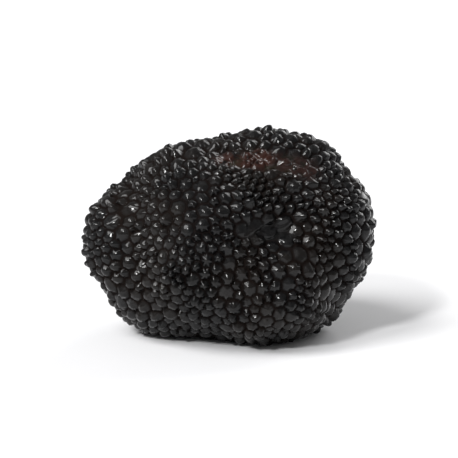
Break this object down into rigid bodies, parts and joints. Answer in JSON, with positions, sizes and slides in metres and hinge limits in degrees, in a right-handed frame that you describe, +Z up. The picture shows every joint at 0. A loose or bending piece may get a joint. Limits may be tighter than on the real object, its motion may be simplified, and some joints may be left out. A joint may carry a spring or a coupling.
{
  "type": "summer truffle",
  "caption": "Whole black truffle: a lobed, slightly flattened lump covered in small pyramid warts, with one smooth flat scar underneath that it rests on.",
  "frame": {"origin": "on the surface it rests on, under the middle of its box", "axes": "+Z up from the flat scar, +X along its longest side with the higher shoulder at +X, -Y the side seen from the front"},
  "size_m": [0.0304, 0.026, 0.0216],
  "materials": {
    "truffle_skin": "wet, black, warty skin with brown in its grooves and on rubbed warts"
  },
  "bodies": {
    "root": {"truffle": "truffle_skin"}
  },
  "joints": []
}
